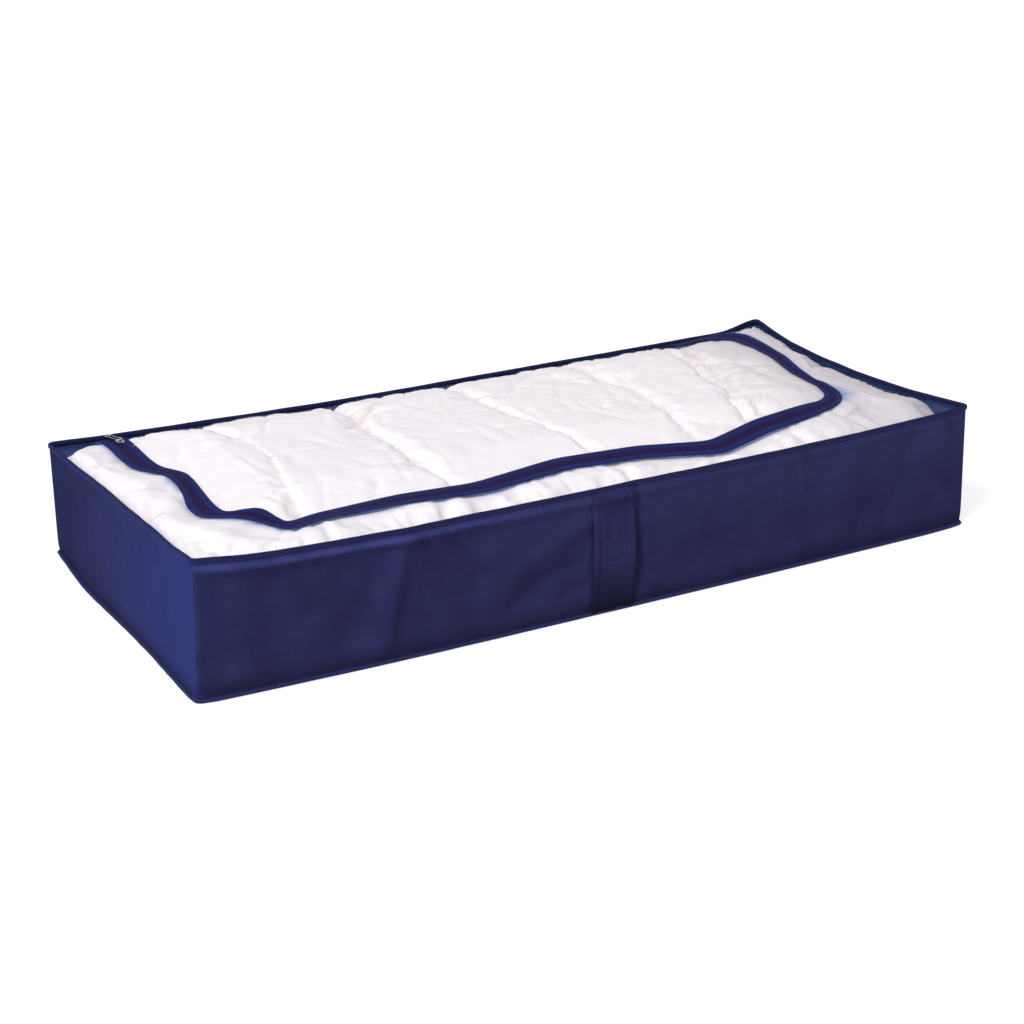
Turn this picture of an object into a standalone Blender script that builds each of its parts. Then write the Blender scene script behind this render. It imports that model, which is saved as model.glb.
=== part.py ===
"""Soft under-bed storage box: a sewn non-woven body with a clear film top and a zipped window flap.

Metres, +Z up. The origin is the middle of the base's underside, on the floor. X runs along the box,
-Y is the long front wall with the pull handle, and +Y is the back wall that the window flap folds towards.
Each sewn seam is a stack of sheets with a clearance between them, gripped by a folded binding.
"""

import math

import bmesh
import bpy
from mathutils import Vector

# Driving dimensions
LENGTH = 1.03  # over the bottom seams, along X
WIDTH = 0.45  # over the bottom seams, along Y
HEIGHT = 0.16  # floor to the top of the rim binding
ZIP_X = 0.44  # the zip's side runs, from the middle
ZIP_FRONT = 0.162  # the zip's front run, from the middle
ZIP_RADIUS = 0.07  # its two front corners
ZIP_Z = 0.158  # the zip lies this high on the filled box
CROWN = 0.016  # the window flap domes this far above the zip
HINGE_Y = 0.170  # the flap folds along this line

# Sheets
CLOTH = 0.0008  # non-woven walls and base
BINDING = 0.0012  # folded tape that grips each seam
FILM = 0.0005  # clear window sheet
TAPE = 0.0006  # woven zip tape
GAP = 0.0003  # clearance between pieces that touch

# Seams
SEAM_OUT = 0.006  # the bottom seam stands out from the walls
WALL_X = LENGTH / 2 - SEAM_OUT  # outer faces of the walls
WALL_Y = WIDTH / 2 - SEAM_OUT
FLANGE = SEAM_OUT - BINDING - GAP  # how far the sewn edges reach into the bottom binding
BASE_EDGE_Z = BINDING + GAP
WALL_EDGE_Z = BASE_EDGE_Z + CLOTH + GAP
WALL_TOP = HEIGHT - BINDING - GAP
RIM_OUTER_LEG = 0.008
RIM_INNER_LEG = 0.007
FILM_EDGE_Z = HEIGHT - RIM_INNER_LEG - GAP - FILM
RIM_FILM_N = -(CLOTH + GAP + FILM / 2)  # middle of the film in the rim seam, outward from the wall's face
CORNER = 0.0005  # the sheets turn sharply at the corners of the walls
UNDER_RIM = 0.004  # the film runs level under the rim binding for this far
BASE_RAMP = (0.010, 0.024)  # the base drops from its seam to the floor between these insets

# Zip
TEETH = (0.0007, 0.0027)  # a row of teeth, measured from the zip's centre line
TEETH_HALF_HEIGHT = 0.001
TAPE_SPAN = (0.0030, 0.0155)
FILM_LAP = 0.008  # the film is sewn under the tape from here
FLAT_TO = 0.017  # and stays level to here
FILM_Z = ZIP_Z - TAPE / 2 - GAP - FILM / 2
HINGE_CLEAR = 0.0010
CROWN_RINGS = ((0.035, 0.35), (0.065, 0.70), (0.100, 0.92), (0.140, 1.0))  # inset from the zip, share of CROWN
ARC_STEPS = 10

# Zip end pieces, behind the fold line
END_Y = 0.2085
END_SLOT_Y = 0.2000
TAIL_RADIUS = 0.021  # the right tail turns along the back edge
TAIL_TO_X = 0.345

# Slider and pull, measured from the slider's middle on the zip's centre line
SLIDER_Y = 0.190
SLIDER_LENGTH = 0.0125
SLIDER_HALF = 0.0050
PLATE = (0.0013, 0.0023)  # each plate, above and below the teeth
LIP = (0.0044, 0.0006)  # the plates' lips: where they start, and how near the tape they come
WEB_HALF = 0.0004
BRIDGE_HALF = 0.0012
BRIDGE_Y = (0.0026, 0.0042)
BRIDGE_Z = (PLATE[1] + GAP, 0.0054, 0.0066)
PIVOT_Z = 0.0040  # the pull turns about this line, above the zip
PULL_DROP = math.radians(1)
PULL_WIRE = 0.0011
PULL_NECK_HALF = 0.0029
PULL_HEAD_HALF = 0.0042
PULL_NECK = 0.0075
PULL_LENGTH = 0.0265

# Pull handle, sewn top and bottom to the front wall
HANDLE_HALF = 0.029
HANDLE_THICK = 0.0016
HANDLE_Z = (0.010, 0.044, 0.118, 0.1465)  # lower sewn end, free strap, upper sewn end
HANDLE_BOW = 0.0045
HANDLE_STEPS = 8

MATERIALS = {
    "navy_cloth": ((0.022, 0.028, 0.130), 0.85, 0.0),
    "navy_binding": ((0.015, 0.018, 0.095), 0.80, 0.0),
    "navy_tape": ((0.018, 0.022, 0.110), 0.75, 0.0),
    "zip_teeth": ((0.035, 0.012, 0.060), 0.45, 0.0),
    "clear_film": ((0.85, 0.90, 0.95), 0.08, 0.0),
    "zip_metal": ((0.62, 0.61, 0.58), 0.30, 1.0),
}


def clear_scene():
    for obj in list(bpy.data.objects):
        bpy.data.objects.remove(obj)


def make_materials():
    made = {}
    for name, (colour, roughness, metallic) in MATERIALS.items():
        material = bpy.data.materials.new(name)
        material.use_nodes = True
        shader = material.node_tree.nodes["Principled BSDF"]
        shader.inputs["Base Color"].default_value = (*colour, 1.0)
        shader.inputs["Roughness"].default_value = roughness
        shader.inputs["Metallic"].default_value = metallic
        if name == "clear_film":
            shader.inputs["Alpha"].default_value = 0.3
        made[name] = material
    return made


def add_object(name, mesh_builder, material, parent=None, location=(0, 0, 0), tilt=0.0):
    """A named object from a bmesh, on its own origin."""
    bmesh.ops.recalc_face_normals(mesh_builder, faces=mesh_builder.faces)
    mesh = bpy.data.meshes.new(name)
    mesh_builder.to_mesh(mesh)
    mesh_builder.free()
    mesh.materials.append(material)
    obj = bpy.data.objects.new(name, mesh)
    bpy.context.scene.collection.objects.link(obj)
    obj.parent = parent
    obj.location = location
    obj.rotation_euler.x = tilt
    return obj


def add_empty(name, location):
    empty = bpy.data.objects.new(name, None)
    bpy.context.scene.collection.objects.link(empty)
    empty.location = location
    return empty


def loft(sections):
    """A closed solid through sections, each a list of points in the same order, capped at both ends."""
    bm = bmesh.new()
    rings = [[bm.verts.new(point) for point in section] for section in sections]
    for lower, upper in zip(rings, rings[1:]):
        for i in range(len(lower)):
            j = (i + 1) % len(lower)
            bm.faces.new((lower[i], lower[j], upper[j], upper[i]))
    bm.faces.new(rings[0][::-1])
    bm.faces.new(rings[-1])
    return bm


def sheet(rings, fill_last):
    """A surface through rings of points, from the outside in. It is thickened by a Solidify modifier."""
    bm = bmesh.new()
    loops = [[bm.verts.new(point) for point in ring] for ring in rings]
    for outer, inner in zip(loops, loops[1:]):
        for i in range(len(outer)):
            j = (i + 1) % len(outer)
            bm.faces.new((outer[i], outer[j], inner[j], inner[i]))
    if fill_last:
        bm.faces.new(loops[-1])
    return bm


def thicken(obj, thickness, offset):
    modifier = obj.modifiers.new("thickness", "SOLIDIFY")
    modifier.thickness = thickness
    modifier.offset = offset
    modifier.use_even_offset = True


def rounded_outline(left, right, front, back, front_radius, back_radius, z):
    """A counter-clockwise rectangle at height z with rounded corners, always of the same number of points."""
    corners = (
        (right - back_radius, back - back_radius, back_radius, 0),
        (left + back_radius, back - back_radius, back_radius, 90),
        (left + front_radius, front + front_radius, front_radius, 180),
        (right - front_radius, front + front_radius, front_radius, 270),
    )
    points = []
    for x, y, radius, start in corners:
        for step in range(ARC_STEPS + 1):
            angle = math.radians(start + 90 * step / ARC_STEPS)
            points.append((x + radius * math.cos(angle), y + radius * math.sin(angle), z))
    return points


def around_walls(outward, z):
    """The box's own outline, this far outward of the walls' faces."""
    x, y = WALL_X + outward, WALL_Y + outward
    return rounded_outline(-x, x, -y, y, CORNER, CORNER, z)


def around_zip(offset, z, back):
    """The outline that keeps this offset outward of the zip's centre line, closed along y = back."""
    x, y = ZIP_X + offset, ZIP_FRONT + offset
    return rounded_outline(-x, x, -y, back, max(ZIP_RADIUS + offset, CORNER), CORNER, z)


def edge_bar(name, side, profile, material):
    """A straight length of a seam on one side of the box, its ends mitred. The profile is (outward, z) pairs."""
    along_x = side in ("front", "back")
    sign = -1 if side in ("front", "left") else 1
    reach = WALL_X if along_x else WALL_Y
    face = WALL_Y if along_x else WALL_X
    sections = []
    for end in (-1, 1):
        section = []
        for outward, z in profile:
            along = end * (reach + outward - GAP / 2)
            across = sign * (face + outward)
            section.append((along, across, z) if along_x else (across, along, z))
        sections.append(section)
    return add_object(name, loft(sections), material)


def wall_profile():
    """The wall and its lower edge, turned out into the bottom seam."""
    return (
        (-CLOTH, WALL_TOP),
        (0, WALL_TOP),
        (0, WALL_EDGE_Z + CLOTH),
        (FLANGE, WALL_EDGE_Z + CLOTH),
        (FLANGE, WALL_EDGE_Z),
        (-CLOTH, WALL_EDGE_Z),
    )


def rim_binding_profile():
    """Tape folded over the wall's top edge and the film's turned-up edge."""
    outer = GAP + BINDING
    inner = RIM_FILM_N - FILM / 2 - GAP - BINDING
    return (
        (outer, HEIGHT - RIM_OUTER_LEG),
        (outer, HEIGHT),
        (inner, HEIGHT),
        (inner, HEIGHT - RIM_INNER_LEG),
        (inner + BINDING, HEIGHT - RIM_INNER_LEG),
        (inner + BINDING, HEIGHT - BINDING),
        (GAP, HEIGHT - BINDING),
        (GAP, HEIGHT - RIM_OUTER_LEG),
    )


def floor_binding_profile():
    """Tape folded round the outward edges of the base and the wall."""
    top = WALL_EDGE_Z + CLOTH + GAP
    return (
        (-BASE_RAMP[0] + GAP, 0),
        (SEAM_OUT, 0),
        (SEAM_OUT, top + BINDING),
        (GAP, top + BINDING),
        (GAP, top),
        (SEAM_OUT - BINDING, top),
        (SEAM_OUT - BINDING, BINDING),
        (-BASE_RAMP[0] + GAP, BINDING),
    )


def add_body(materials):
    rings = (
        around_walls(FLANGE, BASE_EDGE_Z),
        around_walls(-BASE_RAMP[0], BASE_EDGE_Z),
        around_walls(-BASE_RAMP[1], 0),
    )
    base = add_object("base_panel", sheet(rings, fill_last=True), materials["navy_cloth"])
    thicken(base, CLOTH, 1)
    for side in ("front", "back", "left", "right"):
        edge_bar(f"{side}_wall", side, wall_profile(), materials["navy_cloth"])
        edge_bar(f"rim_binding_{side}", side, rim_binding_profile(), materials["navy_binding"])
        edge_bar(f"floor_binding_{side}", side, floor_binding_profile(), materials["navy_binding"])


def box_cutter(name, low, high):
    """A hidden box for cutting, between two corners."""
    corners = [(x, y) for x, y in ((0, 0), (1, 0), (1, 1), (0, 1))]
    sections = []
    for z in (low[2], high[2]):
        sections.append([(high[0] if x else low[0], high[1] if y else low[1], z) for x, y in corners])
    bm = loft(sections)
    bmesh.ops.recalc_face_normals(bm, faces=bm.faces)
    mesh = bpy.data.meshes.new(name)
    bm.to_mesh(mesh)
    bm.free()
    cutter = bpy.data.objects.new(name, mesh)
    bpy.context.scene.collection.objects.link(cutter)
    cutter.hide_render = True
    cutter.display_type = "WIRE"
    return cutter


def add_window_margin(materials):
    """The fixed film: turned up inside the rim, level under the zip tape, open inside it."""
    rings = (
        around_walls(RIM_FILM_N, WALL_TOP),
        around_walls(RIM_FILM_N, FILM_EDGE_Z),
        around_walls(RIM_FILM_N - UNDER_RIM, FILM_EDGE_Z),
        around_zip(FLAT_TO, FILM_Z, END_Y),
        around_zip(FILM_LAP, FILM_Z, HINGE_Y + HINGE_CLEAR),
    )
    margin = add_object("window_margin", sheet(rings, fill_last=False), materials["clear_film"])
    thicken(margin, FILM, 0)
    low = (-ZIP_X - FILM_LAP - GAP, HINGE_Y - GAP, FILM_Z - PLATE[1])
    high = (-ZIP_X + FILM_LAP, END_SLOT_Y, FILM_Z + PLATE[1])
    slot = margin.modifiers.new("slider parking slot", "BOOLEAN")
    slot.operation = "DIFFERENCE"
    slot.object = box_cutter("slider_slot_cutter", low, high)


def u_path(offset, back):
    """The zip's left run, front run and right run at this offset outward of its centre line."""
    outline = around_zip(offset, 0, back)
    front_arcs = outline[2 * (ARC_STEPS + 1) :]
    x = ZIP_X + offset
    return [(-x, back)] + [point[:2] for point in front_arcs] + [(x, back)]


def zip_strip(name, span, half_height, material, parent=None, origin=(0, 0, 0)):
    """A strip along the zip between two offsets; negative offsets are on the flap's side."""
    inner, outer = u_path(span[0], HINGE_Y - HINGE_CLEAR), u_path(span[1], HINGE_Y - HINGE_CLEAR)
    shift = Vector(origin)
    sections = []
    for a, b in zip(inner, outer):
        corners = ((*a, -half_height), (*b, -half_height), (*b, half_height), (*a, half_height))
        sections.append([Vector(c) + Vector((0, 0, ZIP_Z)) - shift for c in corners])
    return add_object(name, loft(sections), material, parent)


def plate(outline, low, high):
    """A flat plate from an (x, y) outline."""
    return loft([[(x, y, z) for x, y in outline] for z in (low, high)])


def add_zip_ends(materials):
    """The zip's two ends, sewn down behind the fold line: a slotted one for the slider, and a turned tail."""
    front, slot_half, half = HINGE_Y + HINGE_CLEAR, TAPE_SPAN[0], TAPE_SPAN[1]
    slotted = (
        (-half, front),
        (-slot_half, front),
        (-slot_half, END_SLOT_Y),
        (slot_half, END_SLOT_Y),
        (slot_half, front),
        (half, front),
        (half, END_Y),
        (-half, END_Y),
    )
    outline = [(x - ZIP_X, y) for x, y in slotted]
    low, high = ZIP_Z - TAPE / 2, ZIP_Z + TAPE / 2
    add_object("zip_end_left", plate(outline, low, high), materials["navy_tape"])
    centre = (ZIP_X - TAIL_RADIUS, front)
    outside, inside = [], []
    for step in range(ARC_STEPS + 1):
        angle = math.pi / 2 * step / ARC_STEPS
        for points, radius in ((outside, TAIL_RADIUS + half), (inside, TAIL_RADIUS - half)):
            points.append((centre[0] + radius * math.cos(angle), centre[1] + radius * math.sin(angle)))
    straight = [(TAIL_TO_X, outside[-1][1]), (TAIL_TO_X, inside[-1][1])]
    add_object("zip_end_right", plate(outside + straight + inside[::-1], low, high), materials["navy_tape"])


def add_zip_stops(materials):
    """Crimped metal stops: one in the slot past the parked slider, one on the tape past the last teeth."""
    half = TEETH[1] - GAP
    top = (-ZIP_X - half, -ZIP_X + half, END_SLOT_Y - 0.0027, END_SLOT_Y - 0.0010, -0.0011, 0.0011)
    bottom = (ZIP_X - half, ZIP_X + half, HINGE_Y + 0.0020, HINGE_Y + 0.0040, TAPE / 2 + GAP, 0.0018)
    for name, (left, right, front, back, low, high) in (("zip_stop_top", top), ("zip_stop_bottom", bottom)):
        outline = ((left, front), (right, front), (right, back), (left, back))
        add_object(name, plate(outline, ZIP_Z + low, ZIP_Z + high), materials["zip_metal"])


def add_window_flap(materials):
    """The moving flap: its own film, tape and teeth, on an empty on the fold line."""
    hinge = Vector((0, HINGE_Y, ZIP_Z))
    pivot = add_empty("window_flap_pivot", hinge)
    back = HINGE_Y - HINGE_CLEAR
    rings = [around_zip(-FILM_LAP, FILM_Z, back), around_zip(-FLAT_TO, FILM_Z, back - FILM_LAP)]
    for inset, share in CROWN_RINGS:
        rings.append(around_zip(-inset, FILM_Z + CROWN * share, back - inset))
    local = [[Vector(point) - hinge for point in ring] for ring in rings]
    film = add_object("flap_film", sheet(local, fill_last=True), materials["clear_film"], pivot)
    thicken(film, FILM, 0)
    tape = (-TAPE_SPAN[1], -TAPE_SPAN[0])
    teeth = (-TEETH[1], -TEETH[0])
    zip_strip("zip_tape_flap", tape, TAPE / 2, materials["navy_tape"], pivot, hinge)
    zip_strip("zip_teeth_flap", teeth, TEETH_HALF_HEIGHT, materials["zip_teeth"], pivot, hinge)


def add_fixed_zip(materials):
    zip_strip("zip_tape_box", TAPE_SPAN, TAPE / 2, materials["navy_tape"])
    zip_strip("zip_teeth_box", TEETH, TEETH_HALF_HEIGHT, materials["zip_teeth"])


def slider_section(y, half):
    """The slider across the zip: two lipped plates on one web."""
    lip_x = half - (SLIDER_HALF - LIP[0])
    quarter = ((half, PLATE[1]), (half, LIP[1]), (lip_x, LIP[1]), (lip_x, PLATE[0]), (WEB_HALF, PLATE[0]))
    right = list(quarter) + [(x, -z) for x, z in reversed(quarter)]
    return [(x, y, z) for x, z in right + [(-x, -z) for x, z in right]]


def add_slider(materials):
    """The slider casting and its bridge, parked at the zip's closed end."""
    parked = (-ZIP_X, SLIDER_Y, ZIP_Z)
    carrier = add_empty("zip_slider_carrier", parked)
    widths = ((-0.5, 0.72), (-0.25, 0.80), (0.15, 1.0), (0.5, 0.86))
    sections = [slider_section(SLIDER_LENGTH * share, SLIDER_HALF * width) for share, width in widths]
    add_object("slider_body", loft(sections), materials["zip_metal"], carrier)
    near, far = BRIDGE_Y
    foot, under, over = BRIDGE_Z
    arch = (
        (-far, foot),
        (-near, foot),
        (-near, under),
        (near, under),
        (near, foot),
        (far, foot),
        (far, under + 0.0002),
        (near, over),
        (-near, over),
        (-far, under + 0.0002),
    )
    sections = [[(x, y, z) for y, z in arch] for x in (-BRIDGE_HALF, BRIDGE_HALF)]
    add_object("slider_bridge", loft(sections), materials["zip_metal"], carrier)
    return carrier


def ring_plate(outer, inner, half_thickness):
    """A flat frame between two outlines with the same number of points."""
    bm = bmesh.new()
    loops = []
    for outline, z in ((outer, -1), (outer, 1), (inner, 1), (inner, -1)):
        loops.append([bm.verts.new((x, y, z * half_thickness)) for x, y in outline])
    for first, second in zip(loops, loops[1:] + loops[:1]):
        for i in range(len(first)):
            j = (i + 1) % len(first)
            bm.faces.new((first[i], first[j], second[j], second[i]))
    return bm


def pull_outline(grow):
    """The pull's loop: a bar through the bridge, a straight neck and a round head, in the pull's own plane."""
    half = PULL_NECK_HALF + grow
    head = PULL_HEAD_HALF + grow
    centre = PULL_LENGTH - PULL_HEAD_HALF - PULL_WIRE / 2
    points = [(-half, -grow), (half, -grow), (half, PULL_NECK)]
    for step in range(2 * ARC_STEPS + 1):
        angle = math.radians(-40 + 260 * step / (2 * ARC_STEPS))
        points.append((head * math.cos(angle), centre + head * math.sin(angle)))
    return points + [(-half, PULL_NECK)]


def add_pull(materials, carrier):
    """The wire pull, whose bar turns inside the bridge; its origin is on that bar."""
    wire = PULL_WIRE / 2
    pull = add_object(
        "slider_pull",
        ring_plate(pull_outline(wire), pull_outline(-wire), wire),
        materials["zip_metal"],
        carrier,
        location=(0, 0, PIVOT_Z),
        tilt=-PULL_DROP,
    )
    return pull


def handle_stand_off(z):
    """How far the strap's back stands in front of the wall, fullest in the middle of its free length."""
    low, high = HANDLE_Z[0], HANDLE_Z[3]
    return GAP + HANDLE_BOW * math.sin(math.pi * (z - low) / (high - low)) ** 2


def handle_length(name, low, high, material, origin=(0, 0, 0)):
    """A length of the strap between two heights."""
    shift = Vector(origin)
    sections = []
    for step in range(HANDLE_STEPS + 1):
        z = low + (high - low) * step / HANDLE_STEPS
        back = -WALL_Y - handle_stand_off(z)
        front = back - HANDLE_THICK
        corners = ((-HANDLE_HALF, front), (HANDLE_HALF, front), (HANDLE_HALF, back), (-HANDLE_HALF, back))
        sections.append([Vector((x, y, z)) - shift for x, y in corners])
    return add_object(name, loft(sections), material, location=origin)


def add_handle(materials):
    """The strap in three lengths: its sewn ends, and the free length that a hand pulls out."""
    cloth = materials["navy_cloth"]
    bottom, low, high, top = HANDLE_Z
    handle_length("handle_end_bottom", bottom, low - GAP, cloth)
    handle_length("handle_end_top", high + GAP, top, cloth)
    handle_length("handle_strap", low, high, cloth, origin=(0, -WALL_Y, (low + high) / 2))


def main():
    clear_scene()
    materials = make_materials()
    add_body(materials)
    add_window_margin(materials)
    add_fixed_zip(materials)
    add_zip_ends(materials)
    add_zip_stops(materials)
    add_window_flap(materials)
    carrier = add_slider(materials)
    add_pull(materials, carrier)
    add_handle(materials)


main()
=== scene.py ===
"""The looks of the soft under-bed box: limp navy cloth, a clear film top with a wavy zip, and bedding inside.

Everything is in metres in the CAD's frame. -Y is the front wall with the pull handle.
The bedding is a prop on the stage, because it is not a piece of the box.
"""

import math

import bpy
import numpy as np
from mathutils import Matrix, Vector


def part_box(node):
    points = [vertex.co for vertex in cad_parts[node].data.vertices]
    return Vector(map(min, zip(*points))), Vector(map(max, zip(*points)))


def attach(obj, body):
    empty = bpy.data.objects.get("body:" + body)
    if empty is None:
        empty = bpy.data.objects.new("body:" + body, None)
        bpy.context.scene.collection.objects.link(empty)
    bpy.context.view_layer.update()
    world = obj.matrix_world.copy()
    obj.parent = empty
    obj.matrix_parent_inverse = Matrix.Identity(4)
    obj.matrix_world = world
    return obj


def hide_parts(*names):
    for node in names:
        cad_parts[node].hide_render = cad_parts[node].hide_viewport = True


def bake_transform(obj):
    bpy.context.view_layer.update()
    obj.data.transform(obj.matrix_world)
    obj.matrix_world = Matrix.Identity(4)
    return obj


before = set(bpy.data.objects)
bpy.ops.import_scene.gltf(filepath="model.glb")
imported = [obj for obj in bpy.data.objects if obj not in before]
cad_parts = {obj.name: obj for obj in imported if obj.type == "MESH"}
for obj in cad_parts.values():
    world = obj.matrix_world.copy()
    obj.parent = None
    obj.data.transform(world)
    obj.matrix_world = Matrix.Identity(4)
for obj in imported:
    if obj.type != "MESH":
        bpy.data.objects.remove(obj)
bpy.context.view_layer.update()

# The box's size, read from the frame
PROUD = 0.0016  # the bindings stand this far in front of the wall's face
RIM_LOW, RIM_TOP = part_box("rim_binding_front")
HALF_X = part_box("floor_binding_right")[1].x - PROUD
HALF_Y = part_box("floor_binding_back")[1].y - PROUD
HEIGHT = RIM_TOP.z
RIM_LEG = RIM_TOP.z - RIM_LOW.z
RIM_FOOT = HEIGHT - (RIM_LEG - 0.0022)  # the binding's outer leg is partly rolled under
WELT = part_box("floor_binding_front")[1].z

# The zip, read from the frame
ZIP_LOW, ZIP_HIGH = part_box("zip_teeth_box")
TEETH_EDGE = 0.0027
TAPE_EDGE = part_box("zip_tape_box")[1].x - (ZIP_HIGH.x - TEETH_EDGE)
ZIP_X = ZIP_HIGH.x - TEETH_EDGE
ZIP_Y = -ZIP_LOW.y - TEETH_EDGE
ZIP_Z = (ZIP_LOW.z + ZIP_HIGH.z) / 2
ZIP_RADIUS = 0.07
BEND_X, BEND_Y = ZIP_X - ZIP_RADIUS, ZIP_Y - ZIP_RADIUS  # middles of its two bends
FOLD_Y = ZIP_HIGH.y + 0.001
END_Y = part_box("zip_end_left")[1].y
TAIL_TO_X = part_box("zip_end_right")[0].x
TAIL_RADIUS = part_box("zip_end_right")[1].y - TAPE_EDGE - FOLD_Y
FLAP_BEND = ((0, FOLD_Y + 0.010, ZIP_Z), (0, FOLD_Y - 0.008, ZIP_Z))  # places at the flap's fold line; they only mark the flap's pieces to be baked in place, nothing bends the film
SLIDER_TRAVEL = 0.27
SLIDER_LIMIT_Y = (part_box("slider_body")[0].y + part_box("slider_body")[1].y) / 2 - SLIDER_TRAVEL
PARTING = 0.00045  # where the slider's run ends, each row of teeth leaves this much more room for its post
TOOTH_PITCH = 0.0021
FILM_LAP = 0.008  # the film is sewn under the tape from here
TAPE_DROP = 0.0011  # the film runs this far below the tape's middle

# Cloth
CORNER = 0.007  # radius of the walls' soft corners
CLOTH = 0.0009
FILM = 0.0004
TAPE = 0.0006
STEP = 0.004  # spacing of the walls' meshes
HEM = 0.0095  # height of the wall's folded hem, below the rim binding
EDGE_X, EDGE_Y = HALF_X - 0.0022, HALF_Y - 0.0022  # the film's sewn edge, inside the rim binding
BEDDING_LOW = 0.118  # the bedding's height where it is rounded off at the walls
FILM_GAP = 0.0012  # the film keeps this far above the bedding

# In its middle, the front wall bows outwards and the back and right walls inwards, and their rims sag
FRONT_BOW, BACK_BOW, RIGHT_BOW = 0.016, 0.009, 0.014
FRONT_SAG, BACK_SAG, RIGHT_SAG = 0.005, 0.0045, 0.006
FOOT_LIFT = 0.021  # the back left corner does not reach the floor

SIDES = ("front", "right", "back", "left")
ALONG = {"front": (1, 0), "right": (0, 1), "back": (-1, 0), "left": (0, -1)}
OUTWARD = {"front": (0, -1), "right": (1, 0), "back": (0, 1), "left": (-1, 0)}


# ---------------------------------------------------------------- how the limp box settles


def smooth(t):
    t = np.clip(t, 0.0, 1.0)
    return t * t * (3 - 2 * t)


def gauss(x, y, cx, cy, rx, ry):
    return np.exp(-(((x - cx) / rx) ** 2) - ((y - cy) / ry) ** 2)


# The corners stand off the straight box: place (share of the half length and half width), shift along
# the box at the rim, shift at the floor, rise
CORNERS = (
    ((-1, -1), 0.000, -0.006, 0.0035),
    ((-1, 1), -0.006, -0.006, 0.0030),
    ((1, -1), 0.004, 0.006, 0.0005),
    ((1, 1), 0.004, 0.004, 0.0030),
)


def back_bow(u):
    """The back rim gives way slowly from its left end and quickly at its right end."""
    return smooth((u + 1) / 0.8) * smooth((1 - u) / 0.14)


def shift_plan(x, y, share):
    """The walls lean as the full box settles: share is 0 at the floor and 1 at the rim."""
    u, v = np.clip(x / HALF_X, -1, 1), np.clip(y / HALF_Y, -1, 1)
    front = smooth(-v) * (1 - u**4) * FRONT_BOW
    front = front + 0.004 * gauss(x, y, -HALF_X, -HALF_Y, 0.08, 0.08) * (1 - share)
    front = front + 0.007 * gauss(x, y, HALF_X, -HALF_Y, 0.12, 0.12)
    back = smooth(v) * back_bow(u) * BACK_BOW * share
    right = smooth((u - 0.4) / 0.6) * (1 - v**2) * RIGHT_BOW * share
    pulled = 0.0
    for (cx, cy), at_rim, at_floor, _ in CORNERS:
        pull = at_floor + (at_rim - at_floor) * share
        pulled = pulled + pull * gauss(x, y, cx * HALF_X, cy * HALF_Y, 0.11, 0.11)
    return x - right + pulled, y - front - back


def rim_drop(x, y):
    """The rim sags between its corners, which stand up in small peaks."""
    u, v = np.clip(x / HALF_X, -1, 1), np.clip(y / HALF_Y, -1, 1)
    peaks = 0.0
    for (cx, cy), _, _, rise in CORNERS:
        peaks = peaks + rise * gauss(x, y, cx * HALF_X, cy * HALF_Y, 0.05, 0.05)
    front = (1 - u**4) * FRONT_SAG * smooth(-v)
    back = back_bow(u) * BACK_SAG * smooth(v)
    right = RIGHT_SAG * (1 - v**2) * smooth((u - 0.4) / 0.6)
    return peaks - (front + back) - right


def settle(points):
    """Moves points of the walls and their bindings from the CAD's straight box to the limp one."""
    x, y, z = points[..., 0], points[..., 1], points[..., 2]
    share = np.clip(z / HEIGHT, 0.0, 1.1)
    new_x, new_y = shift_plan(x, y, share)
    lifted = FOOT_LIFT * gauss(x, y, -HALF_X, HALF_Y, 0.07, 0.07) * np.clip(1 - share, 0, 1)
    return np.stack([new_x, new_y, z + rim_drop(x, y) * share + lifted], axis=-1)


# ---------------------------------------------------------------- mesh helpers


def assign(target, **settings):
    for key, value in settings.items():
        setattr(target, key, value)


def add_object(name, data):
    obj = bpy.data.objects.new(name, data)
    bpy.context.scene.collection.objects.link(obj)
    return obj


def mesh_object(name, verts, faces, material, uv=None):
    mesh = bpy.data.meshes.new(name)
    mesh.from_pydata(np.asarray(verts, float).reshape(-1, 3).tolist(), [], [list(map(int, f)) for f in faces])
    if uv is not None:
        layer = mesh.uv_layers.new(name="surface")
        corner_vertex = np.zeros(len(mesh.loops), np.int32)
        mesh.loops.foreach_get("vertex_index", corner_vertex)
        layer.data.foreach_set("uv", np.asarray(uv, np.float32).reshape(-1, 2)[corner_vertex].ravel())
    mesh.materials.append(material)
    mesh.shade_smooth()
    return add_object(name, mesh)


def hand_over(piece, body, slot, *nodes, bend=None):
    """The piece stands for the CAD's nodes, which it hides. Its slot argument is not used.

    It rides on the body, unless it is given two places to bend between, as every piece of the flap is: then
    it is only baked into the box's frame and rides on nothing.
    """
    if body == "window_flap":
        bend = FLAP_BEND
    if bend:
        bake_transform(piece)
    else:
        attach(piece, body)
    if nodes:
        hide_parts(*nodes)


def grid_faces(rows, cols, wrap_rows=False, wrap_cols=False):
    r = np.arange(rows if wrap_rows else rows - 1)
    c = np.arange(cols if wrap_cols else cols - 1)
    r, c = np.meshgrid(r, c, indexing="ij")
    r2, c2 = (r + 1) % rows, (c + 1) % cols
    return np.stack([r * cols + c, r * cols + c2, r2 * cols + c2, r2 * cols + c], axis=-1).reshape(-1, 4)


def bar_faces(rings, count):
    """Faces of a closed bar through rings of points, capped at both ends."""
    faces = grid_faces(rings, count, wrap_cols=True).tolist()
    faces.append(list(range(count))[::-1])
    faces.append(list(range((rings - 1) * count, rings * count)))
    return faces


def swept(name, points, material, uv, flip=False):
    """A closed bar through rings of points (rings, points in a ring)."""
    faces = bar_faces(*points.shape[:2])
    if flip:
        faces = [f[::-1] for f in faces]
    return mesh_object(name, points, faces, material, uv)


def repeated(faces, count, times):
    """The same faces for several equal pieces of count points each."""
    return [[i + k * count for i in face] for k in range(times) for face in faces]


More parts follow.
